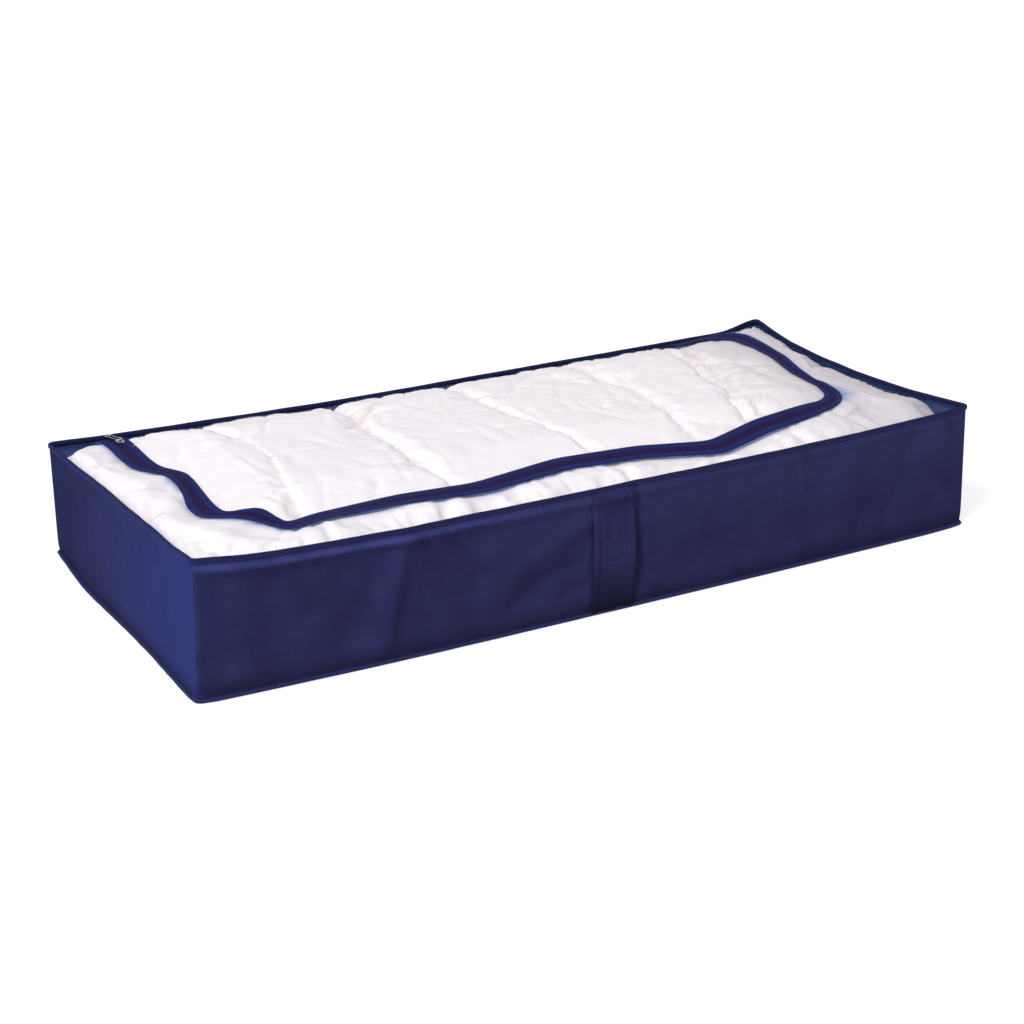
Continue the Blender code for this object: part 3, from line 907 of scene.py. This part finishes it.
def bedding_start(x, y):
    """The bedding's rough top before it is simulated: full in the middle, rounded off towards the walls."""
    to_left, to_right = x + HALF_X, HALF_X - x
    to_front, to_back = y + HALF_Y, HALF_Y - y
    edge = 1.0
    for distance, reach in (
        (to_left, 0.004),
        (to_right - 0.001 + 0.012 * smooth((y + 0.01) / 0.03), 0.004),
        (to_front, 0.004),
        (to_back - 0.0035, 0.004),
        (np.hypot(to_left, to_back) - 0.029, 0.007),
        (np.hypot(to_right, to_front) - 0.034, 0.012),
    ):
        edge = edge * (1 - np.exp(-np.clip(distance, 0, None) / reach))
    top = BEDDING_LOW + (lid(x, y) - 0.003 - BEDDING_LOW) * edge + bedding_folds(x, y) * 0.8
    top = top - 0.004 * np.exp(-((seam_distance(x, y) / 0.012) ** 2))
    return top + ripple(x, y, 5, 0.0022, 0.09, 0.30) + ripple(y, x, 6, 0.0016, 0.07, 0.2)


def crumple(x, y, seed, amplitude):
    """Fine sharp creases, each set running one way and showing only in soft patches."""
    rng = np.random.default_rng(seed)
    total = np.zeros(x.shape)
    for _ in range(9):
        angle = rng.uniform(0, math.pi)
        length = rng.uniform(0.035, 0.085)
        run = x * math.cos(angle) + y * math.sin(angle)
        bent = run / length + 0.35 * ripple(x, y, rng.integers(1000), 1.0, 0.06, 0.16, 5)
        patch = smooth(0.2 + 0.5 * ripple(y, x, rng.integers(1000), 1.0, 0.12, 0.3, 5))
        total = total - np.exp(-((np.mod(bent, 1.0) - 0.5) ** 2) / 0.010) * patch
    return amplitude * total


def seam_distance(x, y):
    nearest = np.full(np.broadcast(x, y).shape, 1.0)
    for k, (back, front, wander) in enumerate(BEDDING_SEAMS):
        share = (HALF_Y - y) / (2 * HALF_Y)
        line = back + (front - back) * share + wander * np.sin(5.0 * share + k * 1.7)
        nearest = np.minimum(nearest, np.abs(x - line))
    return nearest


def simulate_bedding(obj, pinned):
    """The quilted top puffs up between its seams and wrinkles where it has cloth to spare."""
    group = obj.vertex_groups.new(name="held")
    for weight in sorted(set(np.round(pinned, 2))):
        if weight > 0:
            indices = np.nonzero(np.round(pinned, 2) == weight)[0]
            group.add(indices.tolist(), float(weight), "REPLACE")
    cloth = obj.modifiers.new("bedding", "CLOTH")
    assign(cloth.settings, quality=5, mass=0.15, air_damping=3.0, shrink_min=-0.07, vertex_group_mass="held")
    assign(cloth.settings, tension_stiffness=8.0, compression_stiffness=8.0, shear_stiffness=3.0)
    assign(cloth.settings, bending_stiffness=0.06, use_pressure=True, uniform_pressure_force=1.3)
    cloth.settings.effector_weights.gravity = 0.0
    assign(cloth.collision_settings, use_collision=False, use_self_collision=False)
    last = 22
    assign(cloth.point_cache, frame_start=1, frame_end=last)
    scene = bpy.context.scene
    for step in range(1, last + 1):
        scene.frame_set(step)
    graph = bpy.context.evaluated_depsgraph_get()
    moved = bpy.data.meshes.new_from_object(obj.evaluated_get(graph))
    co = np.zeros(len(moved.vertices) * 3, np.float32)
    moved.vertices.foreach_get("co", co)
    obj.modifiers.clear()
    scene.frame_set(1)
    return co.reshape(-1, 3).astype(float)


def make_bedding(material):
    """The bedding's top sheet, in the box's straight frame. Returns its object and the grid of its points."""
    nx, ny = 241, 105
    inset, right_inset = 0.007, 0.0045
    across = np.linspace(-HALF_X + inset, HALF_X - right_inset, nx)
    x, y = np.meshgrid(across, np.linspace(-HALF_Y + inset, HALF_Y - inset, ny))
    z = bedding_start(x, y)
    points = np.stack([x, y, z], axis=-1)
    obj = mesh_object("bedding_prop", points, grid_faces(ny, nx), material)
    seam = seam_distance(x, y)
    pinned = np.maximum(np.clip(1 - seam / 0.006, 0, 1), np.clip(1.4 - to_rim(x, y) / 0.012, 0, 1))
    moved = simulate_bedding(obj, pinned.ravel()).reshape(points.shape)
    reach = np.array([0.007, 0.007, 0.024])
    shaped = points + np.clip(moved - points, -reach, reach)
    x, y = shaped[..., 0], shaped[..., 1]
    dents = np.minimum(bedding_folds(x, y), 0)
    cap = lid(x, y)
    z = press(shaped[..., 2], cap, 0.0016) + 0.7 * dents + crumple(x, y, 21, 0.0018)
    packed = cap - 0.0030 - 0.35 * beyond_tape(x, y)  # it fills the room under the zip
    shaped[..., 2] = np.maximum(z, np.where(y < END_Y, packed, 0.0))
    return obj, shaped


def rim_inside(x, y):
    """Height of the film's sewn edge, inside the rim binding."""
    return HEIGHT - RIM_LEG + 0.001 + rim_drop(x, y)


def stretch_film(bedding_points):
    """The film's height: sewn to the rim, held by the zip, lifted by the bedding and taut in between."""
    film = Field(0.005)
    below = np.full_like(film.z, 0.10)
    ix, iy = film.cells(bedding_points[..., 0], bedding_points[..., 1])
    np.maximum.at(below, (np.round(iy).astype(int), np.round(ix).astype(int)), bedding_points[..., 2])
    edge = np.zeros(film.x.shape, bool)
    edge[0], edge[-1], edge[:, 0], edge[:, -1] = True, True, True, True
    rim = rim_inside(film.x, film.y)
    near_zip = (np.abs(from_zip(film.x, film.y)) < TAPE_EDGE + 0.002) & (film.y < END_Y)
    held = ZIP_Z - TAPE_DROP + zip_rise(film.x, film.y)
    film.z = np.where(edge, rim, np.maximum(below, 0.150))
    for _ in range(260):
        mean = film.z.copy()
        mean[1:-1, 1:-1] = (film.z[:-2, 1:-1] + film.z[2:, 1:-1] + film.z[1:-1, :-2] + film.z[1:-1, 2:]) / 4
        film.z = np.where(edge, rim, np.maximum(mean, below + FILM_GAP))
        film.z = np.where(near_zip, held, film.z)
    (cx, cy), long, wide, rise = ZIP_ARCH
    film.z += rise * gauss(film.x, film.y, cx, cy, long, wide)
    return film


def on_top(x, y, z):
    """Places points of the film, the zip or the bedding: bent in plan, then settled with the rim."""
    moved = wander(x, y)
    across = np.clip(from_zip(x, y), -TAPE_EDGE, TAPE_EDGE)
    bent_x = x + moved[..., 0] + across * moved[..., 4]
    bent_y = y + moved[..., 1] + across * moved[..., 5]
    moved_x, moved_y = shift_plan(bent_x, bent_y, 1.0)
    at_limit = smooth((0.0100 - np.abs(moved_y - SLIDER_LIMIT_Y)) / 0.0027) * (x < 0)
    parted = PARTING * np.sign(across) * np.exp(-((across / 0.002) ** 2)) * at_limit
    return np.stack([moved_x - parted, moved_y, z], axis=-1)


def on_film(film, x, y, lift=0.0):
    return on_top(x, y, film.read(x, y) + lift)


# ---------------------------------------------------------------- film pieces


def line(a, b, count):
    """Points from a up to, but not including, b."""
    t = np.arange(count)[:, None] / count
    return np.array(a) * (1 - t) + np.array(b) * t


def quarter(centre, radius, start, count):
    angle = np.radians(start + 90 * np.arange(count) / count)
    return np.stack([centre[0] + radius * np.cos(angle), centre[1] + radius * np.sin(angle)], axis=-1)


def zip_outline(offset, back=FOLD_Y):
    """The zip's run in plan, offset outward of its centre line, from its left end round to its right end."""
    x, y = ZIP_X + offset, ZIP_Y + offset
    r = ZIP_RADIUS + offset
    left = line((-x, back), (-x, -BEND_Y), 90)
    first = quarter((-BEND_X, -BEND_Y), r, 180, 28)
    front = line((-BEND_X, -y), (BEND_X, -y), 220)
    second = quarter((BEND_X, -BEND_Y), r, 270, 28)
    right = line((x, -BEND_Y), (x, back), 90)
    return np.concatenate([left, first, front, second, right, [(x, back)]])


def tail_outline(offset):
    """The zip's right end: it turns along the back edge."""
    centre = (ZIP_X - TAIL_RADIUS, FOLD_Y)
    bend = quarter(centre, TAIL_RADIUS + offset, 0, 16)
    y = centre[1] + TAIL_RADIUS + offset
    return np.concatenate([bend, line((centre[0], y), (TAIL_TO_X, y), 24), [(TAIL_TO_X, y)]])


def outer_outline(offset):
    """The run of the zip's outer half: past the flap, it goes on along the back edge."""
    return np.concatenate([zip_outline(offset)[:-1], tail_outline(offset)])


WANDER = wander_table()


def margin_outline():
    """The film's sewn edge inside the rim, point for point with zip_outline."""
    x, y = EDGE_X, EDGE_Y
    reach = 0.10
    left = line((-x, y), (-x, reach - y), 90)
    first = np.concatenate([line((-x, reach - y), (-x, -y), 14), line((-x, -y), (reach - x, -y), 14)])
    front = line((reach - x, -y), (x - reach, -y), 220)
    second = np.concatenate([line((x - reach, -y), (x, -y), 14), line((x, -y), (x, reach - y), 14)])
    right = line((x, reach - y), (x, y), 90)
    return np.concatenate([left, first, front, second, right, [(x, y)]])


def add_margin(film, material):
    """The fixed film, from the rim to the zip; its sewn edge is turned up."""
    outer, inner = margin_outline(), zip_outline(FILM_LAP, EDGE_Y)
    shares = np.concatenate([[0.0, 0.015, 0.04], np.linspace(0.09, 1.0, 14)])
    plan = outer[None] * (1 - shares[:, None, None]) + inner[None] * shares[:, None, None]
    x, y = plan[..., 0], plan[..., 1]
    lift = np.zeros_like(x)
    lift[0], lift[1] = 0.0020, 0.0005
    uv = pairs(x, shares[:, None])
    margin = surface("margin_film", on_film(film, x, y, lift), material, uv, FILM, flip=True)
    hand_over(margin, "box", "film", "window_margin")


def add_flap_film(film, material):
    """The flap's film, in one sheet with the strip behind its fold line that joins it to the back rim."""
    radius = ZIP_RADIUS - FILM_LAP
    arc = BEND_X + radius * np.sin(np.linspace(0, math.pi / 2, 16)[1:])
    x = np.concatenate([-arc[::-1], np.linspace(-BEND_X, BEND_X, 150), arc])
    over = np.clip(np.abs(x) - BEND_X, 0, radius)
    front = -BEND_Y - np.sqrt(radius**2 - over**2)
    share = np.linspace(0, 1, 84)[:, None]
    y = front[None, :] * (1 - share) + EDGE_Y * share
    x = np.broadcast_to(x[None, :], y.shape)
    flap = surface("flap_film_sheet", on_film(film, x, y), material, pairs(x, y), FILM)
    hand_over(flap, "window_flap", "film", "flap_film")


# ---------------------------------------------------------------- the zip


TAPE_SECTION = (0.0001, 0.0032, 0.0042, 0.0065, 0.0095, 0.0125, TAPE_EDGE)  # distances from the centre line
TAPE_LIFTS = np.array((0, 0, 0, 0, 0, 0.0001, 0))[:, None]  # the seam's thread lifts it there


def add_tapes(film, material):
    def behind(offset):
        return line((-ZIP_X - offset, HALF_Y - 0.0030), (-ZIP_X - offset, FOLD_Y), 12)

    def outer_run(offset):
        return np.concatenate([behind(offset), outer_outline(offset)])

    for name, node, body, side, run in (
        ("zip_tape_outer", "zip_tape_box", "box", 1, outer_run),
        ("zip_tape_inner", "zip_tape_flap", "window_flap", -1, zip_outline),
        ("zip_end_tape_left", "zip_end_left", "box", -1, behind),
        ("zip_end_tape_right", "zip_end_right", "box", -1, tail_outline),
    ):
        plan = np.array([run(side * offset) for offset in TAPE_SECTION])
        points = on_film(film, plan[..., 0], plan[..., 1], TAPE_DROP + TAPE_LIFTS)
        uv = pairs(distances(plan[0])[None, :], np.array(TAPE_SECTION)[:, None])
        tape = surface(name, points, material, uv, TAPE, offset=0, flip=side < 0)
        hand_over(tape, body, "zip_tape", node)


# A tooth: distance out from the centre line, girth, half height
TOOTH = (
    (0.0002, 0.55, 0.0004),
    (0.0007, 1.00, 0.0008),
    (0.0016, 0.95, 0.0009),
    (0.0022, 0.80, 0.0007),
    (0.0026, 0.50, 0.0003),
)
TOOTH_HALF = 0.00078  # a tooth's half width along the zip


def teeth_row(name, film, outline_at, side, material):
    """Separate teeth along the zip: rounded bars from its centre line onto the tape."""
    centre = outline_at(0.0)
    distance = distances(centre)
    first = TOOTH_PITCH / 2 if side > 0 else TOOTH_PITCH  # the two rows stand half a pitch apart
    where = np.arange(first, distance[-1] - TOOTH_PITCH / 2, TOOTH_PITCH)
    ring = np.linspace(0, 2 * math.pi, 6, endpoint=False)
    edge = outline_at(side * 0.01)
    cx, cy = (np.interp(where, distance, centre[:, k])[:, None] for k in (0, 1))
    ox, oy = (np.interp(where, distance, edge[:, k])[:, None] for k in (0, 1))
    size = np.hypot(ox - cx, oy - cy)
    ox, oy = (ox - cx) / size, (oy - cy) / size
    stations = []
    for out, girth, height in TOOTH:
        for angle in ring:
            stations.append((out, TOOTH_HALF * girth * math.cos(angle), height * girth * math.sin(angle)))
    out, along, up = np.array(stations).T
    x = cx + ox * out - side * oy * along
    y = cy + oy * out + side * ox * along
    points = on_film(film, x, y, TAPE_DROP + up)
    faces = repeated(bar_faces(len(TOOTH), len(ring)), len(stations), len(where))
    return mesh_object(name, points, faces, material)


def add_teeth(film, material):
    for name, outline_at, side, body, nodes in (
        ("outer", outer_outline, 1, "box", ["zip_teeth_box"]),
        ("inner", zip_outline, -1, "window_flap", ["zip_teeth_flap"]),
        ("tail", tail_outline, -1, "box", []),
    ):
        row = teeth_row(f"zip_teeth_{name}", film, outline_at, side, material)
        hand_over(row, body, "zip_teeth", *nodes)


def add_zip_stitches(film, material):
    for name, side, body in (("outer", 1, "box"), ("inner", -1, "window_flap")):
        x, y = zip_outline(side * (TAPE_EDGE - 0.002)).T
        path = on_film(film, x, y, TAPE_DROP + TAPE / 2 + 0.0001)
        add_stitches(f"zip_stitching_{name}", path, material, body)


def shade_cad(names, material):
    """CAD nodes whose own shape is right keep it, and take a finer material."""
    for name in names:
        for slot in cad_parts[name].material_slots:
            slot.material = material


def tube(path, radius, sides=10):
    """Rings of points round a closed path that lies close to the XY plane."""
    forward = np.roll(path, -1, axis=0) - np.roll(path, 1, axis=0)
    forward /= np.linalg.norm(forward, axis=1)[:, None]
    side = np.stack([-forward[:, 1], forward[:, 0], 0 * forward[:, 0]], axis=-1)
    angles = np.linspace(0, 2 * math.pi, sides, endpoint=False)
    offset = side[:, None] * np.cos(angles)[None, :, None]
    offset[..., 2] += np.sin(angles)[None, :]
    return path[:, None] + radius * offset


def add_pull(material):
    """The slider's wire pull: a bar through the bridge, a narrow neck and a round head."""
    low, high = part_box("slider_pull")
    radius = 0.0006
    neck, neck_end, head = 0.0029, 0.0075, 0.0042
    centre = high.y - low.y - 2 * radius - head
    points = [(-neck, 0), (0, 0), (neck, 0), (neck, neck_end)]
    for degrees in range(-40, 221, 13):
        angle = math.radians(degrees)
        points.append((head * math.cos(angle), centre + head * math.sin(angle)))
    points.append((-neck, neck_end))
    x, y = np.array(points).T
    lean = 0.36 * np.maximum(y - 0.004, 0)  # the loose loop lies a little to one side
    droop = 0.0175 * y
    path = np.stack([(low.x + high.x) / 2 + x - lean, low.y + radius + y, high.z - radius - droop], axis=-1)
    rings = tube(path, radius)
    faces = grid_faces(*rings.shape[:2], wrap_rows=True, wrap_cols=True)
    pull = mesh_object("wire_pull", rings, faces, material)
    assign(pull.modifiers.new("round", "SUBSURF"), levels=1, render_levels=1)
    hand_over(pull, "zip_pull", "zip_metal", "slider_pull")


# ---------------------------------------------------------------- the pull handle

HANDLE_LOW, HANDLE_HIGH = WELT * 0.8, RIM_FOOT + 0.0012  # its ends are caught in the two seams
HANDLE_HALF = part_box("handle_strap")[1].x - 0.0015
HANDLE_FOLD = 0.066  # height of the strap's cross crease, where its two pieces meet
HANDLE_HEM = 0.009


def handle_arc(z):
    """One in the middle of the strap's height, falling to nothing at its ends."""
    return np.sin(math.pi * np.clip((z - HANDLE_LOW) / (HANDLE_HIGH - HANDLE_LOW), 0, 1))


def handle_outward(v, z):
    """How far the strap stands in front of the wall: loose in the middle, thicker at its two hems."""
    past_hem = np.abs(v) - (HANDLE_HALF - HANDLE_HEM)
    loose = (0.0040 + 0.06 * v) * handle_arc(z) ** 2
    hems = 0.0008 * smooth(past_hem / 0.0012)
    stitched = -0.0009 * np.exp(-((past_hem / 0.0009) ** 2))
    fold = -0.0008 * np.exp(-(((z - HANDLE_FOLD) / 0.0030) ** 2))
    soft = ripple(v * 2, z, 77, 0.0003, 0.02, 0.08)
    return 0.0021 + loose + hems + stitched + fold + soft


def handle_points(v, z):
    across = v - 0.0105 + 0.0035 * handle_arc(z)  # it hangs left of the middle and bows back to the right
    out = handle_outward(v, z) + relief("front", np.clip(v, -0.02, 0.02) * 0.5, z)
    return settle(np.stack([across, -HALF_Y - out, z], axis=-1))


def add_handle(material, thread):
    """The strap in two pieces, meeting at its cross crease, each with stitching along both hems."""
    for name, low, high, held, free, nodes in (
        ("lower", HANDLE_LOW, HANDLE_FOLD, 0.016, HANDLE_FOLD - 0.004, ("handle_end_bottom", "handle_strap")),
        ("upper", HANDLE_FOLD, HANDLE_HIGH, 0.141, HANDLE_FOLD + 0.012, ("handle_end_top",)),
    ):
        bend = ((0, -HALF_Y, held), (0, -HALF_Y, free))
        z = np.linspace(low, high, 40)[:, None]
        v, z = np.broadcast_arrays(np.linspace(-HANDLE_HALF, HANDLE_HALF, 59)[None, :], z)
        strap = surface(f"handle_{name}", handle_points(v, z), material, pairs(v, z), 0.0016)
        hand_over(strap, "handle", "cloth", *nodes, bend=bend)
        for end, side in (("left", -1), ("right", 1)):
            z = np.linspace(low + 0.002, high - 0.001, 40)
            path = handle_points(np.full_like(z, side * (HANDLE_HALF - HANDLE_HEM)), z)
            path[:, 1] -= 0.0001
            add_stitches(f"handle_{name}_stitching_{end}", path, thread, "handle", 0.0036, 0.0026, bend)


# ---------------------------------------------------------------- stage


def add_stage():
    size, z = 30.0, -0.0005
    verts = [(-size, -size, z), (size, -size, z), (size, size, z), (-size, size, z)]
    mesh_object("floor", verts, [(0, 1, 2, 3)], pale_floor())
    world = bpy.data.worlds.new("studio")
    bpy.context.scene.world = world
    world.use_nodes = True
    background = world.node_tree.nodes["Background"]
    background.inputs["Color"].default_value = (1.0, 0.99, 0.99, 1)
    background.inputs["Strength"].default_value = 0.60
    add_lamp("key", "SUN", (0, 0, 0), (-0.62, -0.32, 0.72), 2.4, angle=math.radians(16))
    add_lamp("fill", "AREA", (-HALF_X, 0, 0.08), (-1.45, -0.50, 0.42), 5.0, size=0.9, color=(0.55, 0.78, 1.0))


def add_lamp(name, kind, target, place, energy, **settings):
    lamp = bpy.data.lights.new(name, kind)
    assign(lamp, energy=energy, **settings)
    obj = add_object(name, lamp)
    obj.location = place
    obj.rotation_euler = (Vector(target) - Vector(place)).to_track_quat("-Z", "Y").to_euler()


def add_camera():
    azimuth, elevation, roll = math.radians(-29.1), math.radians(20.6), math.radians(-0.77)
    distance, target = 2.775, Vector((-0.007, 0.0, 0.0455))
    level = Vector((math.sin(azimuth), -math.cos(azimuth), 0))
    back = level * math.cos(elevation) + Vector((0, 0, math.sin(elevation)))
    data = bpy.data.cameras.new("camera")
    assign(data, lens=78.6, sensor_width=36.0)
    camera = add_object("camera", data)
    camera.location = target + back * distance
    camera.rotation_euler = back.to_track_quat("Z", "Y").to_euler()
    camera.rotation_euler.rotate_axis("Z", roll)
    bpy.context.scene.camera = camera


def main():
    bpy.context.scene.view_settings.view_transform = "Standard"
    cloth = non_woven("navy_non_woven", (0.0185, 0.0190, 0.0700))
    # the left wall's copy, with painted light and shade along it
    left_cloth = non_woven("navy_non_woven_left", (0.0180, 0.0190, 0.0690), light_falloff=0.8)
    # the front wall's copy: a darker base as painted shade, and painted sheen on its hem
    front_cloth = non_woven("navy_non_woven_front", (0.0175, 0.0178, 0.0620), hem_sheen_gain=0.7)
    # the strap's copy: a darker base and deep painted shade below its cross crease, where it curves back
    # towards the wall
    strap_cloth = non_woven("navy_non_woven_strap", (0.0185, 0.0188, 0.0650), floor_shade_gain=0.85, floor_shade_top=0.068)
    binding = ribbed("navy_binding", (0.012, 0.014, 0.056), 0.0011)
    # a lighter copy of the binding for the left rim: painted light where the key light falls
    lit_left_binding = ribbed("navy_binding_left", (0.013, 0.017, 0.070), 0.0011)
    lit_binding = ribbed("navy_binding_lit", (0.018, 0.020, 0.078), 0.0011)
    tape = ribbed("navy_zip_tape", (0.013, 0.018, 0.092), 0.0009, inner_colour_and_shade=(0.013, 0.0065, 0.056))
    teeth = moulded("zip_teeth_nylon", (0.011, 0.0048, 0.038), 0.55)
    thread = moulded("navy_thread", (0.020, 0.026, 0.120), 0.65)
    metal = plated_metal()
    film_material = clear_film("clear_film", 0.012)
    # the margin's film, with a painted reflection of the zip
    margin_material = clear_film("clear_film_margin", 0.012, painted_reflection=0.42)
    for side in SIDES:
        add_wall(side, {"front": front_cloth, "left": left_cloth}.get(side, cloth))
        add_rim_binding(side, lit_left_binding if side == "left" else binding)
        add_floor_binding(side, lit_binding)
        add_rim_stitches(side, thread)
    add_base(cloth)
    bedding, bedding_points = make_bedding(bedding_cloth())
    film = stretch_film(bedding_points)
    x, y = bedding_points[..., 0], bedding_points[..., 1]
    z = np.minimum(bedding_points[..., 2], film.read(x, y) - FILM_GAP)
    placed = on_top(x, y, z)
    bedding.data.vertices.foreach_set("co", placed.astype(np.float32).ravel())
    bedding.data.update()
    add_margin(film, margin_material)
    add_flap_film(film, film_material)
    add_tapes(film, tape)
    add_teeth(film, teeth)
    add_zip_stitches(film, thread)
    shade_cad(("slider_body", "slider_bridge", "zip_stop_top", "zip_stop_bottom"), metal)
    add_pull(metal)
    add_handle(strap_cloth, thread)
    add_stage()
    add_camera()


main()
